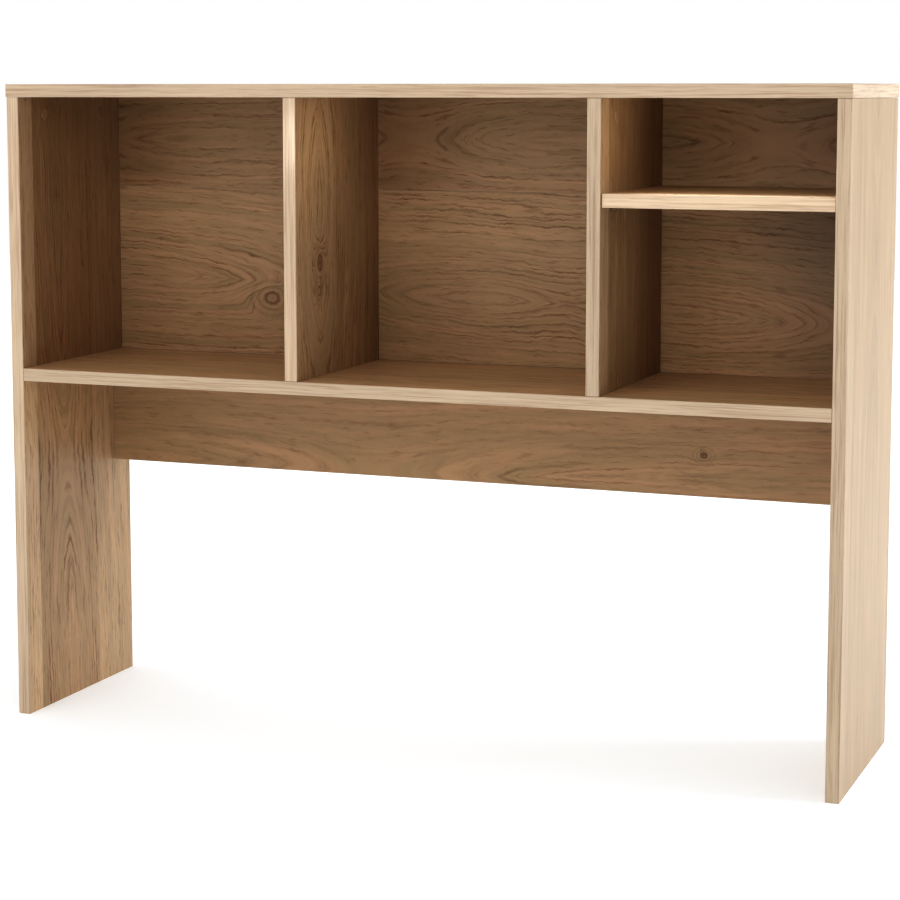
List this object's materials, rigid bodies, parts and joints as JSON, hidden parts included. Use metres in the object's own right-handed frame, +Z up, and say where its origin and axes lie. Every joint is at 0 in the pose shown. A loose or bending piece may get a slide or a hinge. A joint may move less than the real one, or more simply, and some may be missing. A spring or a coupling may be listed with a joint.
{
  "type": "desk hutch",
  "caption": "Wood-grain desk hutch: two side panels used as legs, open shelf bays between dividers with a back, and a stiffening rail under the long shelf.",
  "frame": {"origin": "on the ground, at the middle of the hutch's footprint", "axes": "+X to the right when facing the open front, +Y from the open front to the back, +Z up"},
  "size_m": [1.2, 0.305, 0.906],
  "materials": {
    "oak_board": "satin oak-print melamine",
    "oak_edge_band": "satin pale oak edge band",
    "zinc_cam": "die-cast zinc, dull",
    "steel_hardware": "zinc-plated steel",
    "beech_dowel": "plain beech"
  },
  "bodies": {
    "root": {"back_dowel_left_lower": "beech_dowel", "back_dowel_left_upper": "beech_dowel", "back_dowel_right_lower": "beech_dowel", "back_dowel_right_upper": "beech_dowel", "back_screw_left_lower": "steel_hardware", "back_screw_left_upper": "steel_hardware", "back_screw_right_lower": "steel_hardware", "back_screw_right_upper": "steel_hardware", "bottom_shelf": "oak_board", "bottom_shelf_front_band": "oak_edge_band", "cam_bolt_rail_left": "steel_hardware", "cam_bolt_rail_right": "steel_hardware", "cam_bolt_shelf_left_front": "steel_hardware", "cam_bolt_shelf_left_rear": "steel_hardware", "cam_bolt_shelf_right_front": "steel_hardware", "cam_bolt_shelf_right_rear": "steel_hardware", "cam_bolt_top_left_divider": "steel_hardware", "cam_bolt_top_left_front": "steel_hardware", "cam_bolt_top_left_rear": "steel_hardware", "cam_bolt_top_right_divider": "steel_hardware", "cam_bolt_top_right_front": "steel_hardware", "cam_bolt_top_right_rear": "steel_hardware", "cam_nut_rail_left": "zinc_cam", "cam_nut_rail_right": "zinc_cam", "cam_nut_shelf_left_front": "zinc_cam", "cam_nut_shelf_left_rear": "zinc_cam", "cam_nut_shelf_right_front": "zinc_cam", "cam_nut_shelf_right_rear": "zinc_cam", "cam_nut_top_left_divider": "zinc_cam", "cam_nut_top_left_front": "zinc_cam", "cam_nut_top_left_rear": "zinc_cam", "cam_nut_top_right_divider": "zinc_cam", "cam_nut_top_right_front": "zinc_cam", "cam_nut_top_right_rear": "zinc_cam", "divider_screw_left_front": "steel_hardware", "divider_screw_left_rear": "steel_hardware", "divider_screw_right_front": "steel_hardware", "divider_screw_right_rear": "steel_hardware", "left_divider": "oak_board", "left_divider_front_band": "oak_edge_band", "left_side_front_band": "oak_edge_band", "left_side_panel": "oak_board", "lower_back_board": "oak_board", "lower_rail": "oak_board", "right_divider": "oak_board", "right_divider_front_band": "oak_edge_band", "right_side_front_band": "oak_edge_band", "right_side_panel": "oak_board", "shelf_pin_left_front": "steel_hardware", "shelf_pin_left_rear": "steel_hardware", "shelf_pin_right_front": "steel_hardware", "shelf_pin_right_rear": "steel_hardware", "small_shelf": "oak_board", "small_shelf_front_band": "oak_edge_band", "top_front_band": "oak_edge_band", "top_left_end_band": "oak_edge_band", "top_panel": "oak_board", "top_right_end_band": "oak_edge_band", "upper_back_board": "oak_board"}
  },
  "joints": []
}
